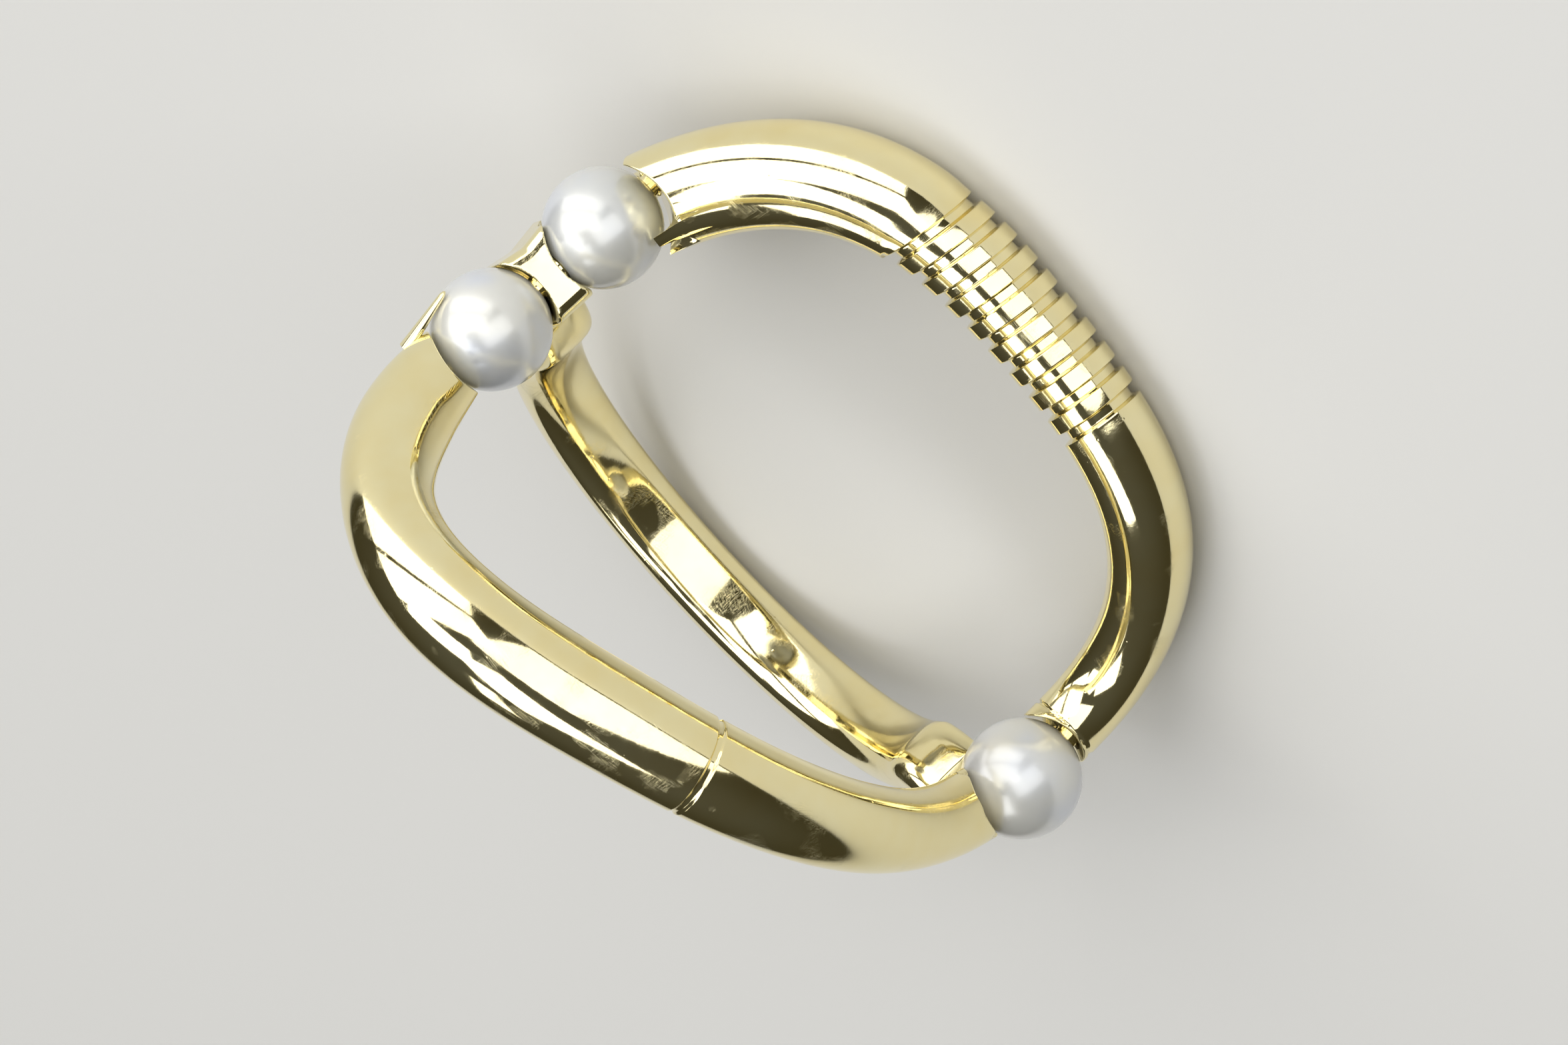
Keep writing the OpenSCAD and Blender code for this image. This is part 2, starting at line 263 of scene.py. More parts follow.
class Tube:
    """Skin of a tapering tube on the centre line, with the hollow cuts at its ends."""

    SIDES = 96
    STEP = 0.16
    END_ROWS = 1.5
    RIM = 0.09
    RIM_STEPS = 6
    HOLLOW_STEPS = 12

    def __init__(self, line, girth, start, end, lines=(), ribs=None):
        self.line, self.girth, self.start, self.end = line, SoftTable(girth), start, end
        self.lines, self.ribs = lines, ribs
        self.columns = np.arange(self.SIDES) * 2 * math.pi / self.SIDES
        if ribs:
            first, last = line.at(np.array([ribs["start"], ribs["start"] + ribs["span"]]))
            chord = unit(last - first)
            c, s = math.cos(ribs["slant"]), math.sin(ribs["slant"])
            x, y, z = chord
            self.rib_heading = np.array([x * c + y * s, y * c - x * s, z])

    def radius(self, place):
        r = self.girth((place - self.start) / (self.end - self.start))
        for at, width, depth, edge in self.lines:
            down, up = smooth_step((place - at) / edge), smooth_step((place - at - width + edge) / edge)
            r = r - depth * (down - up)
        return r

    def facing(self, place):
        """Headings of the sections, which all face one way on the ribbed stretch."""
        t = self.line.heading(place)
        if self.ribs:
            lead, first = self.ribs["lead"], self.ribs["start"]
            share = smooth_step((place - first + lead) / lead)
            share = share * smooth_step((first + self.ribs["span"] + lead - place) / lead)
            t = unit(t + share[..., None] * (self.rib_heading - t))
        return t

    def wall(self, place, column):
        """Points of the tube's wall and the directions out of it."""
        t = self.facing(place)
        up = unit(np.array([0.0, 0.0, 1.0]) - t[..., 2:] * t)
        side = np.cross(up, t)
        out = np.cos(column)[..., None] * side + np.sin(column)[..., None] * up
        return self.line.at(place) + self.radius(place)[..., None] * out, out

    def is_clear(self, place, column, cut):
        """Whether the wall is clear of the hollow cut round a pearl and of the notch beside it."""
        points = self.wall(place, column)[0] - cut.pearl
        clear = np.linalg.norm((points @ cut.turn)[..., :2], axis=-1) > cut.radius
        if cut.notch is not None:
            away = np.linalg.norm(points[..., :2] - cut.notch[:2], axis=-1)
            clear &= (away > NOTCH_R) | (points[..., 2] < cut.notch[2] - NOTCH_SINK)
        return clear

    def rim_places(self, cut, inner, outer):
        """Place of each column where the wall, followed outwards, first meets a cut or the tube's end."""
        tries = np.linspace(inner, outer, 90)[:, None] * np.ones(self.SIDES)
        clear = self.is_clear(tries, np.broadcast_to(self.columns, tries.shape), cut)
        clear[-1] = False
        first = np.argmin(clear, 0)
        inner, outer = tries[first - 1, 0], tries[first, 0]
        for _ in range(30):
            middle = (inner + outer) / 2
            clear = self.is_clear(middle, self.columns, cut)
            inner, outer = np.where(clear, middle, inner), np.where(clear, outer, middle)
        return middle

    def rows(self):
        """Places of the plain rows, closer together at engraved lines and on the ribbed stretch."""
        places = [np.arange(self.start, self.end, self.STEP), [self.end]]
        for at, width, _, edge in self.lines:
            places.append(np.arange(at - edge, at + width + edge, edge / 4))
        if self.ribs:
            margin = self.ribs["edge"]
            first, last = self.ribs["start"] - margin, self.ribs["start"] + self.ribs["span"] + margin
            places.append(np.arange(first, last, self.ribs["edge"] / 4))
        merged = np.unique(np.concatenate(places))
        keep = np.concatenate([[True], np.diff(merged) > 0.012])
        return merged[keep]

    def hollow_rows(self, cut, rim, inner_sign):
        """Rows from the wall round a rim and over the hollow cut, and the cut's middle point."""
        before = self.wall(rim - inner_sign * self.RIM, self.columns)[0]
        corner = self.wall(rim, self.columns)[0]
        axis = (self.line.at(np.mean(rim)) - cut.pearl) @ cut.turn
        reach = (corner - cut.pearl) @ cut.turn
        middle_turn = math.atan2(axis[1], axis[0])
        turn = np.arctan2(reach[:, 1], reach[:, 0]) - middle_turn
        turn = (turn + math.pi) % (2 * math.pi) - math.pi
        extra = np.linalg.norm(reach[:, :2], axis=1) - cut.radius
        middle_height = float(reach[:, 2].mean())

        def over(share):
            t = middle_turn + turn * (1 - share)
            height = reach[:, 2] + share * (middle_height - reach[:, 2])
            r = cut.radius + extra * np.clip(1 - 3 * share, 0, 1) ** 2
            return cut.pearl + np.stack([r * np.cos(t), r * np.sin(t), height], -1) @ cut.turn.T

        first = self.RIM / np.linalg.norm(corner - corner.mean(0), axis=1)
        after = over(first)
        found = []
        for k in range(1, self.RIM_STEPS + 1):
            t = k / self.RIM_STEPS
            found.append((1 - t) ** 2 * before + 2 * t * (1 - t) * corner + t * t * after)
        for k in range(1, self.HOLLOW_STEPS):
            found.append(over(first + (1 - first) * k / self.HOLLOW_STEPS))
        return found, over(1.0)[0]

    def mesh(self, first_end, last_end):
        """Closed mesh of the tube, and for each point its place and its direction out of the wall."""
        rim_a = self.rim_places(first_end, self.start + 2.5, self.start)
        rim_b = self.rim_places(last_end, self.end - 2.5, self.end)
        near_a, near_b = self.start + self.END_ROWS, self.end - self.END_ROWS
        grid = []
        for place in self.rows():
            row = np.full(self.SIDES, place)
            if place < near_a:
                share = (near_a - place) / self.END_ROWS
                row = near_a + share * (rim_a + self.RIM - near_a)
            elif place > near_b:
                share = (place - near_b) / self.END_ROWS
                row = near_b + share * (rim_b - self.RIM - near_b)
            grid.append(row)
        grid = np.array(grid)
        walls, outs = self.wall(grid, np.broadcast_to(self.columns, grid.shape))
        rows_a, pole_a = self.hollow_rows(first_end, rim_a, -1)
        rows_b, pole_b = self.hollow_rows(last_end, rim_b, 1)
        layers = [*rows_a[::-1], *walls, *rows_b]
        points = np.concatenate([np.concatenate(layers), [pole_a, pole_b]])
        blank_a, blank_b = len(rows_a) * self.SIDES, len(rows_b) * self.SIDES
        along = np.concatenate([np.full(blank_a, -9.0), grid.ravel(), np.full(blank_b + 2, -9.0)])
        out = np.concatenate([np.zeros((blank_a, 3)), outs.reshape(-1, 3), np.zeros((blank_b + 2, 3))])
        faces = grid_faces(len(layers), self.SIDES)
        last = (len(layers) - 1) * self.SIDES
        faces += [((i + 1) % self.SIDES, i, len(points) - 2) for i in range(self.SIDES)]
        faces += [(last + i, last + (i + 1) % self.SIDES, len(points) - 1) for i in range(self.SIDES)]
        return points, faces, along, out


def grid_faces(rows, columns, closed=False):
    """Faces between rows of points that go round."""
    return [
        (k * columns + i, k * columns + (i + 1) % columns,
         (k + 1) % rows * columns + (i + 1) % columns, (k + 1) % rows * columns + i)
        for k in range(rows if closed else rows - 1) for i in range(columns)
    ]


def swept(sections):
    """Closed mesh through rings of points, with a cap at each end."""
    sides = len(sections[0])
    last = (len(sections) - 1) * sides
    faces = grid_faces(len(sections), sides)
    faces += [tuple(reversed(range(sides))), tuple(last + i for i in range(sides))]
    return np.concatenate(sections), faces


def soft_box(middle, half_a, half_b, power=3.4, sides=40):
    """Ring of points round a rectangle with soft corners; half_a and half_b are its half axes."""
    turns = np.arange(sides) * 2 * math.pi / sides
    c, s = np.cos(turns), np.sin(turns)
    a = np.sign(c) * abs(c) ** (2 / power)
    b = np.sign(s) * abs(s) ** (2 / power)
    return middle + a[:, None] * np.asarray(half_a, float) + b[:, None] * np.asarray(half_b, float)


def ball(middle, radius, steps=32):
    """Closed ball, as rows round the Z axis with a point at each pole."""
    middle = np.asarray(middle, float)
    turns = np.arange(2 * steps) * math.pi / steps
    rows = []
    for k in range(1, steps):
        tip = math.pi * k / steps
        flat = np.stack([np.cos(turns), np.sin(turns), np.zeros_like(turns)], -1) * math.sin(tip)
        rows.append(middle + radius * (flat - [0, 0, math.cos(tip)]))
    points = np.concatenate([*rows, [middle - [0, 0, radius], middle + [0, 0, radius]]])
    n, last = 2 * steps, (steps - 2) * 2 * steps
    faces = grid_faces(steps - 1, n)
    faces += [((i + 1) % n, i, len(points) - 2) for i in range(n)]
    faces += [(last + i, last + (i + 1) % n, len(points) - 1) for i in range(n)]
    return points, faces


def joined(*shells):
    """One list of points and one of faces, from several shells."""
    points, faces, offset = [], [], 0
    for shell_points, shell_faces in shells:
        points.append(shell_points)
        faces += [tuple(i + offset for i in face) for face in shell_faces]
        offset += len(shell_points)
    return np.concatenate(points), faces


def working_object(name, points, faces):
    """Object in the ring's own axes, in millimetres, with its faces pointing outwards."""
    mesh = bpy.data.meshes.new(name)
    mesh.from_pydata(points.tolist(), [], faces)
    shape = bmesh.new()
    shape.from_mesh(mesh)
    bmesh.ops.recalc_face_normals(shape, faces=shape.faces)
    shape.to_mesh(mesh)
    shape.free()
    item = bpy.data.objects.new(name, mesh)
    bpy.context.scene.collection.objects.link(item)
    return item


def with_modifiers_applied(item):
    """Turns an object's modifiers into its plain mesh."""
    bpy.context.view_layer.update()
    result = bpy.data.meshes.new_from_object(item.evaluated_get(bpy.context.evaluated_depsgraph_get()))
    if not result.polygons:
        raise RuntimeError(f"{item.name} came out with no faces")
    item.modifiers.clear()
    old, item.data = item.data, result
    result.name = item.name
    bpy.data.meshes.remove(old)
    return item


def finished(item, material, node, sharp=math.radians(48)):
    """Puts a working object where the ring lies, and makes it a piece that stands for its node."""
    mesh = item.data
    points = np.empty(len(mesh.vertices) * 3)
    mesh.vertices.foreach_get("co", points)
    turned = points.reshape(-1, 3) @ np.array([ACROSS, ALONG, OUTWARD]) + ring_origin()
    mesh.vertices.foreach_set("co", (turned * MM).ravel())
    for name in ("along", "outward"):
        if name in mesh.attributes:
            mesh.attributes.remove(mesh.attributes[name])
    mesh.shade_smooth()
    mesh.set_sharp_from_angle(angle=sharp)
    mesh.update()
    mesh.materials.clear()
    mesh.materials.append(material)
    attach(item, "root")
    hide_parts(node)
    return item


def finished_gold(item):
    """Finishes a working object as a piece of the gold."""
    return finished(item, gold_material(), MOUNT)


def ring_origin():
    """Where the middle of the ring's bore lies in the frame, in millimetres."""
    side = bpy.context.scene.ring_sizes.side / MM
    return PAIR_MIDDLE + (HALF_ACROSS - PAIR_INSET) * ACROSS - side * OUTWARD


class NodeMaker:
    """Short way to add nodes to a tree and join them."""

    def __init__(self, tree):
        self.tree = tree

    def add(self, kind, settings=None, **inputs):
        node = self.tree.nodes.new(kind)
        for name, value in (settings or {}).items():
            setattr(node, name, value)
        for name, value in inputs.items():
            self.feed(node.inputs[name.replace("_", " ")], value)
        return node

    def feed(self, socket, value):
        if isinstance(value, bpy.types.NodeSocket):
            self.tree.links.new(value, socket)
        else:
            socket.default_value = value

    def maths(self, operation, *values):
        node = self.add("ShaderNodeMath", {"operation": operation})
        for socket, value in zip(node.inputs, values):
            self.feed(socket, value)
        return node.outputs[0]

    def ranged(self, value, low, high, to_low=0.0, to_high=1.0, soft=False):
        """Value from low to high, turned into a value from to_low to to_high."""
        node = self.add("ShaderNodeMapRange", {"interpolation_type": "SMOOTHSTEP" if soft else "LINEAR"})
        names = ("Value", "From Min", "From Max", "To Min", "To Max")
        for name, given in zip(names, (value, low, high, to_low, to_high)):
            self.feed(node.inputs[name], given)
        return node.outputs[0]

    def mixed(self, share, first, second):
        node = self.add("ShaderNodeMix", {"data_type": "RGBA"})
        for socket, value in zip((node.inputs[0], node.inputs[6], node.inputs[7]), (share, first, second)):
            self.feed(socket, value)
        return node.outputs[2]


def groove_tree(material):
    """Geometry nodes that press parallel grooves into a tube, which leaves the ribs between them."""
    tree = bpy.data.node_groups.new("Rib Grooves", "GeometryNodeTree")
    tree.interface.new_socket("Geometry", in_out="INPUT", socket_type="NodeSocketGeometry")
    for name in ("Start", "Pitch", "Groove Width", "Depth", "Edge", "Unevenness"):
        tree.interface.new_socket(name, in_out="INPUT", socket_type="NodeSocketFloat")
    for name in ("Count", "Seed"):
        tree.interface.new_socket(name, in_out="INPUT", socket_type="NodeSocketInt")
    tree.interface.new_socket("Geometry", in_out="OUTPUT", socket_type="NodeSocketGeometry")
    make = NodeMaker(tree)
    given = tree.nodes.new("NodeGroupInput").outputs
    along = make.add("GeometryNodeInputNamedAttribute", {"data_type": "FLOAT"}, Name="along")
    outward = make.add("GeometryNodeInputNamedAttribute", {"data_type": "FLOAT_VECTOR"}, Name="outward")
    place = make.maths("SUBTRACT", along.outputs["Attribute"], given["Start"])
    index = make.maths("FLOOR", make.maths("DIVIDE", place, given["Pitch"]))
    within = make.maths("SUBTRACT", place, make.maths("MULTIPLY", index, given["Pitch"]))
    stray = make.add("FunctionNodeRandomValue", {"data_type": "FLOAT"})
    spread = [socket for socket in stray.inputs if socket.type == "VALUE"]
    spread[0].default_value, spread[1].default_value = 0.0, 1.0
    make.feed(stray.inputs["ID"], index)
    make.feed(stray.inputs["Seed"], given["Seed"])
    shift = [socket for socket in stray.outputs if socket.type == "VALUE"][0]
    within = make.maths("SUBTRACT", within, make.maths("MULTIPLY", shift, given["Unevenness"]))
    down = make.ranged(within, 0.0, given["Edge"], soft=True)
    wall = make.maths("SUBTRACT", given["Groove Width"], given["Edge"])
    up = make.ranged(within, wall, given["Groove Width"], soft=True)
    groove = make.maths("SUBTRACT", down, up)
    inside = make.maths(
        "MULTIPLY", make.maths("GREATER_THAN", index, -0.5),
        make.maths("LESS_THAN", index, make.maths("SUBTRACT", given["Count"], 0.5)),
    )
    push = make.maths("MULTIPLY", make.maths("MULTIPLY", groove, inside), given["Depth"])
    offset = make.add("ShaderNodeVectorMath", {"operation": "SCALE"})
    make.feed(offset.inputs[0], outward.outputs["Attribute"])
    make.feed(offset.inputs["Scale"], make.maths("MULTIPLY", push, -1.0))
    moved = make.add("GeometryNodeSetPosition", Geometry=given["Geometry"], Offset=offset.outputs[0])
    realised = make.add("GeometryNodeRealizeInstances", Geometry=moved.outputs[0])
    painted = make.add("GeometryNodeSetMaterial", Geometry=realised.outputs[0])
    painted.inputs["Material"].default_value = material
    tree.links.new(painted.outputs[0], tree.nodes.new("NodeGroupOutput").inputs[0])
    return tree


def set_inputs(modifier, **values):
    """Sets a Geometry Nodes modifier's inputs, which go by their socket's identifier."""
    for socket in modifier.node_group.interface.items_tree:
        name = socket.name.replace(" ", "_").lower()
        if socket.in_out == "INPUT" and name in values:
            modifier[socket.identifier] = values[name]


def gold_material():
    """Polished gold, a little worn: soft colour drift, fine scratches and a few pits."""
    existing = bpy.data.materials.get(GOLD_NAME)
    if existing:
        return existing
    finish = bpy.context.scene.ring_finish
    material = bpy.data.materials.new(GOLD_NAME)
    material.use_nodes = True
    tree = material.node_tree
    make = NodeMaker(tree)
    shader = tree.nodes["Principled BSDF"]
    shader.inputs["Metallic"].default_value = 1.0
    place = make.add("ShaderNodeTexCoord").outputs["Object"]
    drift = make.add("ShaderNodeTexNoise", Vector=place, Scale=420.0, Detail=3.0, Roughness=0.55)
    colour = make.mixed(
        make.ranged(drift.outputs[0], 0.35, 0.75), (*finish.gold, 1), (*finish.deep_gold, 1)
    )
    make.feed(shader.inputs["Base Color"], colour)
    scratches = None
    for turn, scale in (((0.3, 0.5, 0.9), (500, 26000, 2600)), ((1.1, -0.4, 2.2), (24000, 420, 3200))):
        turned = make.add("ShaderNodeMapping", Vector=place)
        turned.inputs["Rotation"].default_value = turn
        turned.inputs["Scale"].default_value = scale
        streak = make.add("ShaderNodeTexNoise", Vector=turned.outputs[0], Scale=1.0, Detail=2.0)
        away = make.maths("ABSOLUTE", make.maths("SUBTRACT", streak.outputs[0], 0.5))
        line = make.ranged(away, 0.0, 0.012, 1.0, 0.0)
        scratches = line if scratches is None else make.maths("MAXIMUM", scratches, line)
    patches = make.add("ShaderNodeTexNoise", Vector=place, Scale=800.0, Detail=2.0)
    worn = make.maths("MULTIPLY", scratches, make.ranged(patches.outputs[0], 0.52, 0.72))
    smudge = make.add("ShaderNodeTexNoise", Vector=place, Scale=1500.0, Detail=4.0, Roughness=0.6)
    rough = make.ranged(smudge.outputs[0], 0.3, 0.75, 0.05, 0.10)
    make.feed(shader.inputs["Roughness"], make.maths("ADD", rough, make.maths("MULTIPLY", worn, 0.05)))
    pits = make.add("ShaderNodeTexVoronoi", Vector=place, Scale=1500.0)
    pit = make.ranged(pits.outputs["Distance"], 0.03, 0.08, 1.0, 0.0)
    height = make.maths("MULTIPLY", worn, -0.35)
    height = make.maths("SUBTRACT", height, make.maths("MULTIPLY", pit, 1.0))
    height = make.maths("ADD", height, make.maths("MULTIPLY", smudge.outputs[0], 1.2))
    bump = make.add("ShaderNodeBump", Height=height, Strength=1.0, Distance=0.0000022)
    make.feed(shader.inputs["Normal"], bump.outputs[0])
    return material


def nacre_material(name, warm, seed):
    """Lustrous nacre: a soft body colour with a cool drift over it, and a clear glossy skin."""
    finish = bpy.context.scene.ring_finish
    material = bpy.data.materials.new(name)
    material.use_nodes = True
    tree = material.node_tree
    make = NodeMaker(tree)
    shader = tree.nodes["Principled BSDF"]
    place = make.add("ShaderNodeTexCoord").outputs["Object"]
    moved = make.add("ShaderNodeMapping", Vector=place)
    moved.inputs["Location"].default_value = (seed, -seed, seed * 0.5)
    drift = make.add("ShaderNodeTexNoise", Vector=moved.outputs[0], Scale=330.0, Detail=2.0)
    body = make.mixed(
        make.ranged(drift.outputs[0], 0.38, 0.66, soft=True), (*finish.nacre, 1), (*finish.overtone, 1)
    )
    blush = make.add("ShaderNodeTexNoise", Vector=moved.outputs[0], Scale=210.0, Detail=1.0)
    body = make.mixed(make.ranged(blush.outputs[0], 0.45, 0.75, 0.0, 0.7, soft=True), body, (*warm, 1))
    make.feed(shader.inputs["Base Color"], body)
    fine = make.add("ShaderNodeTexNoise", Vector=moved.outputs[0], Scale=2600.0, Detail=3.0)
    make.feed(shader.inputs["Roughness"], make.ranged(fine.outputs[0], 0.3, 0.7, 0.28, 0.35))
    for name, value in (
        ("Metallic", 0.3), ("Specular IOR Level", 0.7), ("Subsurface Weight", 0.1),
        ("Subsurface Radius", (0.8, 0.7, 0.65)), ("Subsurface Scale", 0.0006), ("Coat Weight", 1.0),
        ("Coat Roughness", 0.16), ("Sheen Weight", 0.03), ("Sheen Roughness", 0.4),
        ("Sheen Tint", (0.86, 0.84, 1.0, 1)),
    ):
        shader.inputs[name].default_value = value
    bump = make.add("ShaderNodeBump", Height=fine.outputs[0], Strength=1.0, Distance=0.0000012)
    make.feed(shader.inputs["Normal"], bump.outputs[0])
    return material


RIBBED_GIRTH = [(0, 1.22), (0.15, 1.27), (0.3, 1.43), (0.5, 1.52), (0.75, 1.76), (1, 1.75)]
PLAIN_GIRTH = [
    (0, 1.22), (0.03, 1.4), (0.08, 1.56), (0.2, 1.5), (0.35, 1.72), (0.6, 1.68), (0.8, 1.46), (0.92, 1.27),
    (1, 1.23),
]
RIBBED_STANDOFF, PLAIN_STANDOFF, SINGLE_STANDOFF = 1.8, 1.3, 1.5
COLLAR_LEN, COLLAR_LINE_W, SEAM_PLACE, SEAM_W, LINE_DEPTH, LINE_EDGE = 0.6, 0.2, 61.4, 0.3, 0.08, 0.08
RIB_LEAD = 0.8


def scene_parts():
    """Sizes, centre line and seat radius that the gold is worked out from."""
    sizes = bpy.context.scene.ring_sizes
    return sizes, CentreLine(sizes), PEARL_D / 2 + sizes.pearl_gap / MM


class PEARL_RING_OT_ribbed_tube(bpy.types.Operator):
    """Builds the ribbed tube, from the single pearl to the upper one of the pair"""

    bl_idname = "pearl_ring.ribbed_tube"
    bl_label = "Ribbed Tube"

    def execute(self, context):
        sizes, line, seat = scene_parts()
        ribs = context.scene.rib_sizes
        start = line.place_near(line.single_pearl, SINGLE_STANDOFF, 30, 2)
        end = line.place_near(line.ribbed_pearl, RIBBED_STANDOFF, 140, 162)
        pitch = ribs.span / MM / (ribs.count - 1 + ribs.share)
        tube = Tube(
            line, RIBBED_GIRTH, start, end,
            lines=[(start + COLLAR_LEN, COLLAR_LINE_W, LINE_DEPTH, LINE_EDGE)],
            ribs={"start": ribs.start / MM, "span": ribs.span / MM, "slant": ribs.slant,
                  "edge": ribs.edge / MM, "lead": RIB_LEAD},
        )
        last_end = HollowCut(line.ribbed_pearl, sizes.ribbed_hollow / MM, sizes.hollow_lean, BEAD_PLACE)
        points, faces, along, out = tube.mesh(HollowCut(line.single_pearl, seat), last_end)
        item = working_object("ribbed_tube", points, faces)
        item.data.attributes.new("along", "FLOAT", "POINT").data.foreach_set("value", along)
        item.data.attributes.new("outward", "FLOAT_VECTOR", "POINT").data.foreach_set("vector", out.ravel())
        grooves = item.modifiers.new("Grooves", "NODES")
        grooves.node_group = groove_tree(gold_material())
        set_inputs(
            grooves, start=ribs.start / MM, pitch=pitch, groove_width=pitch * ribs.share,
            depth=ribs.depth / MM, edge=ribs.edge / MM, unevenness=ribs.uneven / MM,
            count=ribs.count, seed=4,
        )
        finished_gold(with_modifiers_applied(item))
        return {"FINISHED"}


class PEARL_RING_OT_plain_tube(bpy.types.Operator):
    """Builds the plain tube, from the lower one of the pair to the single pearl"""

    bl_idname = "pearl_ring.plain_tube"
    bl_label = "Plain Tube"

    def execute(self, context):
        sizes, line, seat = scene_parts()
        start = line.place_near(line.plain_pearl, PLAIN_STANDOFF, 210, 184)
        end = line.place_near(line.single_pearl, SINGLE_STANDOFF, 330, 353)
        collar = end - COLLAR_LEN - COLLAR_LINE_W
        tube = Tube(
            line, PLAIN_GIRTH, start, end,
            lines=[
                (SEAM_PLACE, SEAM_W, LINE_DEPTH, LINE_EDGE), (collar, COLLAR_LINE_W, LINE_DEPTH, LINE_EDGE),
            ],
        )
        first_end = HollowCut(line.plain_pearl, sizes.plain_hollow / MM)
        points, faces, _, _ = tube.mesh(first_end, HollowCut(line.single_pearl, seat))
        finished_gold(working_object("plain_tube", points, faces))
        return {"FINISHED"}


ARM_TOP, ARM_OUT, ARM_IN, ARM_RISE, ARM_FOOT = 1.1, 0.75, 1.35, 1.6, 0.02
STUB_FOOT, STUB_GROW = 0.5, 0.05


def band_sections(sizes, line, side, from_z, to_z, grow=0.0, steps=20):
    """Sections of one arm between two heights; side is -1 at the pair and 1 at the single pearl."""
    bore, band = sizes.bore / MM / 2, (sizes.bore / 2 + sizes.band_t) / MM
    top = line.side - ARM_TOP
    rings = []
    for z in np.linspace(from_z, to_z, steps):
        flare = (z / top) ** 2
        inner = bore + (line.half - ARM_IN - bore) * flare
        outer = band + (line.half + ARM_OUT - band) * flare
        middle = [side * (inner + outer) / 2, sizes.band_y / MM, z]
        half_t, half_w = (outer - inner) / 2 + grow, sizes.band_w / MM / 2 + grow
        rings.append(soft_box(middle, [side * half_t, 0, 0], [0, side * half_w, 0]))
    return rings


class PEARL_RING_OT_band(bpy.types.Operator):
    """Builds the half-round band and its two arms"""

    bl_idname = "pearl_ring.band"
    bl_label = "Band"

    def execute(self, context):
        sizes, line, _ = scene_parts()
        middle_r = (sizes.bore / 2 + sizes.band_t / 2) / MM
        half_t, half_w = sizes.band_t / MM / 2, sizes.band_w / MM / 2
        rings = band_sections(sizes, line, -1, ARM_RISE, ARM_FOOT)
        for turn in np.linspace(math.pi, 2 * math.pi, 121):
            out = np.array([math.cos(turn), 0, math.sin(turn)])
            centre = middle_r * out + [0, sizes.band_y / MM, 0]
            rings.append(soft_box(centre, half_t * out, [0, -half_w, 0]))
        rings += band_sections(sizes, line, 1, ARM_FOOT, ARM_RISE)
        points, faces = swept(match_starts(rings))
        finished_gold(working_object("band", points, faces))
        return {"FINISHED"}


def match_starts(rings):
    """Turns each ring of points round until it starts beside the ring before it."""
    found = [rings[0]]
    for ring in rings[1:]:
        choices = [np.roll(way, -k, axis=0) for way in (ring, ring[::-1]) for k in range(len(ring))]
        costs = [((choice - found[-1]) ** 2).sum() for choice in choices]
        found.append(choices[int(np.argmin(costs))])
    return found


CRADLE_T, CRADLE_W, CRADLE_DROP, CRADLE_DROP_RIBBED = 0.6, 1.1, 1.0, 0.12
SPACER_OUT, SPACER_IN, SPACER_OUT_W, SPACER_IN_W = 1.5, 1.35, 2.6, 1.5
SPACER_NOTCH, SPACER_DROP, SPACER_RISE = 0.2, 1.9, 0.75
HEAD_VOXEL, HEAD_SOFTENING, SEAT_EASE = 0.045, 5, 0.01


def cradle(pearl, seat, far_drop=CRADLE_DROP):
    """Curved bar under a pearl, from one gold end to the other."""
    middle_r = seat + CRADLE_T / 2 - 0.02
    near, far = (math.acos(drop / (seat + CRADLE_T)) for drop in (CRADLE_DROP, far_drop))
    rings = []
    for turn in np.linspace(-near, far, 41):
        out = np.array([0, math.sin(turn), -math.cos(turn)])
        rings.append(soft_box(pearl + middle_r * out, [CRADLE_W / 2, 0, 0], CRADLE_T / 2 * out))
    return swept(rings)


def spacer_block(line):
    """Block between the paired pearls, before their seats are cut out of it."""
    plan = [
        (-SPACER_OUT, -SPACER_OUT_W / 2), (SPACER_NOTCH - SPACER_OUT, 0), (-SPACER_OUT, SPACER_OUT_W / 2),
        (SPACER_IN, SPACER_IN_W / 2), (SPACER_IN, -SPACER_IN_W / 2),
    ]
    top = SPACER_RISE
    levels = ((-SPACER_DROP, 1.0), (top - 0.4, 1.0), (top - 0.2, 0.95), (top - 0.06, 0.84), (top, 0.66))
    rings = [
        np.array([[x * share + PAIR_INSET - line.half, y * share, line.side + z] for x, y in plan])
        for z, share in levels
    ]
    return swept(rings)


def seat_cutter(pearl, seat, steps=48):
    """Ball that is open towards the face, as an upright round-bottomed plug."""
    rows = [math.pi / 2 * k / steps for k in range(1, steps + 1)]
    turns = np.arange(3 * steps) * 2 * math.pi / (3 * steps)
    flat = np.stack([np.cos(turns), np.sin(turns), np.zeros_like(turns)], -1)
    rings = [pearl + seat * (math.sin(tip) * flat - [0, 0, math.cos(tip)]) for tip in rows]
    rings.append(pearl + seat * flat + [0, 0, 2 * seat])
    return swept(rings)


def softened_head(name, shells, pearls, seat):
    """Melts shells into one body, less the pearls' seats, with softly rounded joints."""
    item = working_object(name, *joined(*shells))
    plugs = joined(*[seat_cutter(pearl, seat + SEAT_EASE) for pearl in pearls])
    cutters = working_object(name + "_cutter", *plugs)
    melt = item.modifiers.new("Melt", "REMESH")
    melt.mode, melt.voxel_size = "VOXEL", HEAD_VOXEL
    seats = item.modifiers.new("Seats", "BOOLEAN")
    seats.operation, seats.solver, seats.object = "DIFFERENCE", "EXACT", cutters
    again = item.modifiers.new("Melt Again", "REMESH")
    again.mode, again.voxel_size = "VOXEL", HEAD_VOXEL
    soft = item.modifiers.new("Soften", "SMOOTH")
    soft.factor, soft.iterations = 0.5, HEAD_SOFTENING
    with_modifiers_applied(item)
    bpy.data.objects.remove(cutters)
    return item


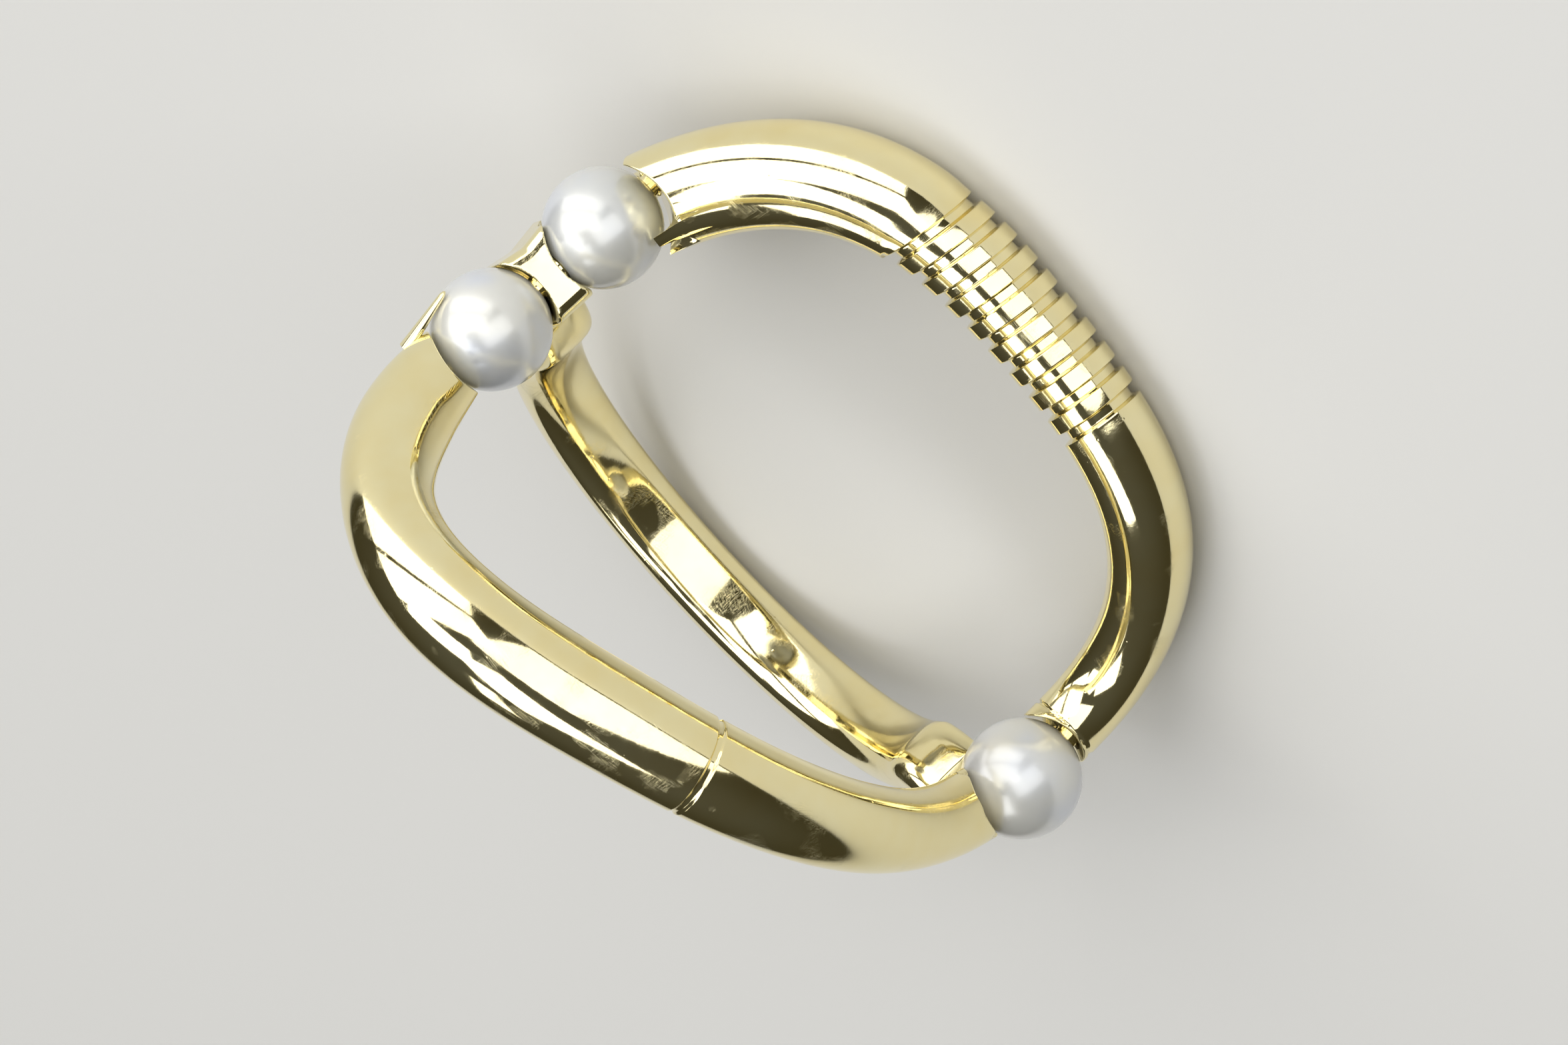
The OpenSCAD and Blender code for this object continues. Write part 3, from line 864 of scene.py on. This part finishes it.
class PEARL_RING_OT_heads(bpy.types.Operator):
    """Builds the gold between and under the pearls: the spacer, the cradles and the arms' tops"""

    bl_idname = "pearl_ring.heads"
    bl_label = "Pearl Seats"

    def execute(self, context):
        sizes, line, seat = scene_parts()
        top = line.side - ARM_TOP
        stubs = {
            side: swept(match_starts(band_sections(sizes, line, side, STUB_FOOT, top, STUB_GROW)))
            for side in (-1, 1)
        }
        pair = [line.ribbed_pearl, line.plain_pearl]
        bars = [cradle(pair[0], seat, CRADLE_DROP_RIBBED), cradle(pair[1], seat)]
        shells = [spacer_block(line), stubs[-1], *bars]
        finished_gold(softened_head("pair_head", shells, pair, seat))
        shells = [stubs[1], cradle(line.single_pearl, seat)]
        head = softened_head("single_head", shells, [line.single_pearl], seat)
        finished_gold(head)
        return {"FINISHED"}


CLAW_FOOT, CLAW_TIP = np.array([-1.45, -2.35, 0.1]), np.array([-1.95, -0.5, 0.7])
CLAW_FOOT_R, CLAW_TIP_R, CLAW_FLATNESS = 0.28, 0.12, 0.7
BEAD_PLACE, BEAD_R, NOTCH_R, NOTCH_SINK = np.array([1.69, 1.63, 0.6]), 0.3, 0.52, 0.2


class PEARL_RING_OT_claw_and_bead(bpy.types.Operator):
    """Builds the small claw beside the lower pearl and the bead beside the upper one"""

    bl_idname = "pearl_ring.claw_and_bead"
    bl_label = "Claw and Bead"

    def execute(self, context):
        _, line, _ = scene_parts()
        way = unit(CLAW_TIP - CLAW_FOOT)
        rings = []
        for share in np.linspace(-0.08, 1.04, 57):
            middle = CLAW_FOOT + share * (CLAW_TIP - CLAW_FOOT)
            out = unit(middle - (middle @ way) * way)
            tip = max(0, (share - 0.92) / 0.125)
            r = (CLAW_FOOT_R + share * (CLAW_TIP_R - CLAW_FOOT_R)) * math.sqrt(1 - tip**2)
            half_t, half_w = CLAW_FLATNESS * r * out, r * np.cross(way, out)
            rings.append(soft_box(line.plain_pearl + middle, half_t, half_w, power=2.4, sides=24))
        finished_gold(working_object("claw", *swept(rings)))
        bead = working_object("bead", *ball(line.ribbed_pearl + BEAD_PLACE, BEAD_R, 20))
        finished_gold(bead)
        return {"FINISHED"}


POST_IN = 0.5


class PEARL_RING_OT_posts(bpy.types.Operator):
    """Builds the posts that the pearls are threaded on"""

    bl_idname = "pearl_ring.posts"
    bl_label = "Posts"

    def execute(self, context):
        sizes, line, seat = scene_parts()
        spans = (
            (line.plain_pearl, sizes.plain_hollow / MM, PAIR_PITCH + sizes.ribbed_hollow / MM),
            (line.single_pearl, seat, seat),
        )
        r = sizes.post_d / MM / 2
        shells = []
        for pearl, before, after in spans:
            places = np.linspace(-before - POST_IN, after + POST_IN, 12)
            rings = [soft_box(pearl + [0, y, 0], [0, 0, r], [r, 0, 0], power=2, sides=32) for y in places]
            shells.append(swept(rings))
        finished_gold(working_object("posts", *joined(*shells)))
        return {"FINISHED"}


class PEARL_RING_OT_pearls(bpy.types.Operator):
    """Builds the three pearls, each with the hole drilled through it"""

    bl_idname = "pearl_ring.pearls"
    bl_label = "Pearls"

    SIDES = 128
    STEPS = 84
    UNEVEN = 0.004

    def execute(self, context):
        sizes, line, _ = scene_parts()
        kinds = (
            (PEARL_NODES[0], line.ribbed_pearl, (0.60, 0.615, 0.61), 0.011),
            (PEARL_NODES[1], line.plain_pearl, (0.74, 0.73, 0.69), 0.023),
            (PEARL_NODES[2], line.single_pearl, (0.65, 0.60, 0.49), 0.037),
        )
        for node, middle, warm, seed in kinds:
            points, faces = self.drilled(middle, PEARL_D / 2, sizes.drill_d / MM / 2, seed)
            item = working_object(node.replace("pearl_", "") + "_pearl", points, faces)
            finished(item, nacre_material(f"Nacre {node}", warm, seed), node)
        return {"FINISHED"}

    def drilled(self, middle, radius, hole, seed):
        """Mesh of a pearl that is very slightly uneven, with the hole through it along Y."""
        rim = math.asin(hole * 1.08 / radius)
        tips = np.linspace(rim, math.pi - rim, self.STEPS)
        profile = [(radius * math.sin(a), radius * math.cos(a)) for a in tips]
        end = radius * math.cos(rim) - 0.05
        profile += [(hole, y) for y in np.linspace(-end, end, 8)]
        turns = np.arange(self.SIDES) * 2 * math.pi / self.SIDES
        rings = []
        for r, y in profile:
            rings.append(np.stack([r * np.cos(turns), np.full_like(turns, y), r * np.sin(turns)], -1))
        points = np.concatenate(rings)
        wave = np.sin(points @ [1.1, 0.7, -0.9] + 90 * seed) * np.sin(points @ [-0.6, 1.3, 0.8] + 50 * seed)
        points = middle + points * (1 - self.UNEVEN * (1 + wave[:, None]) / 2)
        return points, grid_faces(len(rings), self.SIDES, closed=True)


AIM_RIGHT, AIM_UP, AIM_BACK = 1.09, 0.46, 6


def world_way(azimuth, elevation):
    """Direction from the ring, by its angle round the floor from X and its angle up from the floor."""
    a, e = math.radians(azimuth), math.radians(elevation)
    return np.array([math.cos(a) * math.cos(e), math.sin(a) * math.cos(e), math.sin(e)])


LIGHTS = (
    ("Upper Window", (-18, 46), 0.42, (0.68, 0.26), 2.3, (1.0, 0.99, 0.965)),
    ("Lower Window", (-18, 10), 0.42, (0.68, 0.22), 2.3, (1.0, 0.99, 0.965)),
    ("Narrow Window", (-94, 32), 0.42, (0.30, 0.50), 1.9, (0.985, 0.99, 1.0)),
    ("Strip", (111, 43), 0.50, (0.06, 0.20), 2.4, (1.0, 0.99, 0.95)),
    ("Overhead Left", (150, 74), 0.46, (0.22, 0.30), 2.5, (0.97, 0.985, 1.0)),
    ("Overhead Right", (30, 70), 0.46, (0.22, 0.30), 2.5, (0.98, 0.99, 1.0)),
)


class PEARL_RING_OT_stage(bpy.types.Operator):
    """Builds the floor, the lights and the camera"""

    bl_idname = "pearl_ring.stage"
    bl_label = "Stage"

    def execute(self, context):
        setup = context.scene.stage_setup
        self.build_floor(setup)
        low, high = CAD_BOX
        target = (low + high) / 2
        for name, angles, distance, size, brightness, colour in LIGHTS:
            self.build_light(name, target, world_way(*angles), distance, size, brightness, colour)
        self.build_world(context)
        self.build_camera(context, setup)
        context.scene.view_settings.view_transform = "Standard"
        context.scene.view_settings.look = "None"
        return {"FINISHED"}

    def build_floor(self, setup):
        half = 1.5
        corners = [(-half, -half, 0), (half, -half, 0), (half, half, 0), (-half, half, 0)]
        mesh = bpy.data.meshes.new("floor")
        mesh.from_pydata(corners, [], [(0, 1, 2, 3)])
        floor = bpy.data.objects.new("floor", mesh)
        bpy.context.scene.collection.objects.link(floor)
        material = bpy.data.materials.new("Pale Floor")
        material.use_nodes = True
        shader = material.node_tree.nodes["Principled BSDF"]
        shader.inputs["Base Color"].default_value = (*setup.floor, 1)
        shader.inputs["Roughness"].default_value = 0.9
        shader.inputs["Specular IOR Level"].default_value = 0.1
        mesh.materials.append(material)

    def build_light(self, name, target, way, distance, size, brightness, colour):
        data = bpy.data.lights.new(name, "AREA")
        data.shape, data.size, data.size_y = "RECTANGLE", *size
        data.energy, data.color = brightness * math.pi * size[0] * size[1], colour
        light = bpy.data.objects.new(name, data)
        bpy.context.scene.collection.objects.link(light)
        light.location = target + Vector(way) * distance
        light.visible_camera = False
        light.rotation_mode = "QUATERNION"
        light.rotation_quaternion = Vector(way).to_track_quat("Z", "Y")

    def build_world(self, context):
        world = bpy.data.worlds.new("Studio")
        context.scene.world = world
        world.use_nodes = True
        make = NodeMaker(world.node_tree)
        backdrop = world.node_tree.nodes["Background"]
        direction = make.add("ShaderNodeTexCoord").outputs["Generated"]
        parts = make.add("ShaderNodeSeparateXYZ")
        make.feed(parts.inputs[0], direction)
        high = make.ranged(parts.outputs["Z"], 0.0, 1.0, soft=True)
        room = make.mixed(high, (0.052, 0.047, 0.029, 1), (0.085, 0.083, 0.07, 1))
        seen = make.add("ShaderNodeLightPath").outputs["Is Camera Ray"]
        make.feed(backdrop.inputs["Color"], make.mixed(seen, room, (0.75, 0.75, 0.745, 1)))
        backdrop.inputs["Strength"].default_value = 1.0

    def build_camera(self, context, setup):
        tip, turn, roll = setup.tip, setup.turn, setup.roll
        back = np.array([-math.sin(turn) * math.cos(tip), -math.sin(tip), math.cos(turn) * math.cos(tip)])
        level = unit(np.array([1.0, 0, 0]) - back[0] * back)
        upright = np.cross(back, level)
        right = -math.sin(roll) * level + math.cos(roll) * upright
        up = -math.cos(roll) * level - math.sin(roll) * upright
        aim = AIM_RIGHT * right + AIM_UP * up + AIM_BACK * back
        eye = aim + setup.distance / MM * back
        turned = np.array([ACROSS, ALONG, OUTWARD])
        data = bpy.data.cameras.new("Camera")
        data.lens, data.sensor_width = setup.lens / MM, 36
        data.clip_start, data.clip_end = 0.01, 10
        camera = bpy.data.objects.new("Camera", data)
        context.scene.collection.objects.link(camera)
        matrix = np.eye(4)
        matrix[:3, :3] = (np.array([right, up, back]) @ turned).T
        matrix[:3, 3] = (eye @ turned + ring_origin()) * MM
        camera.matrix_world = Matrix(matrix.tolist())
        context.scene.camera = camera


class PEARL_RING_PT_panel(bpy.types.Panel):
    """Lists the steps that build the ring"""

    bl_idname = "PEARL_RING_PT_panel"
    bl_label = "Pearl Ring"
    bl_space_type = "VIEW_3D"
    bl_region_type = "UI"
    bl_category = "Pearl Ring"

    def draw(self, context):
        for group in ("ring_sizes", "rib_sizes", "ring_finish", "stage_setup"):
            settings = getattr(context.scene, group)
            box = self.layout.box()
            box.label(text=group.replace("_", " ").title())
            for name in settings.__annotations__:
                box.prop(settings, name)
        for step in STEPS:
            self.layout.operator(step.bl_idname)


GROUPS = {
    "ring_sizes": RingSizes, "rib_sizes": RibSizes, "ring_finish": RingFinish, "stage_setup": StageSetup,
}
STEPS = (
    PEARL_RING_OT_ribbed_tube, PEARL_RING_OT_plain_tube, PEARL_RING_OT_band, PEARL_RING_OT_heads,
    PEARL_RING_OT_claw_and_bead, PEARL_RING_OT_posts, PEARL_RING_OT_pearls, PEARL_RING_OT_stage,
)


def register():
    for kind in (*GROUPS.values(), *STEPS, PEARL_RING_PT_panel):
        bpy.utils.register_class(kind)
    for name, group in GROUPS.items():
        setattr(bpy.types.Scene, name, PointerProperty(type=group))


def unregister():
    for name in GROUPS:
        delattr(bpy.types.Scene, name)
    for kind in reversed((*GROUPS.values(), *STEPS, PEARL_RING_PT_panel)):
        bpy.utils.unregister_class(kind)


def main():
    """Builds every piece and the stage."""
    register()
    for step in STEPS:
        getattr(bpy.ops.pearl_ring, step.bl_idname.split(".")[1])()


if __name__ == "__main__":
    main()
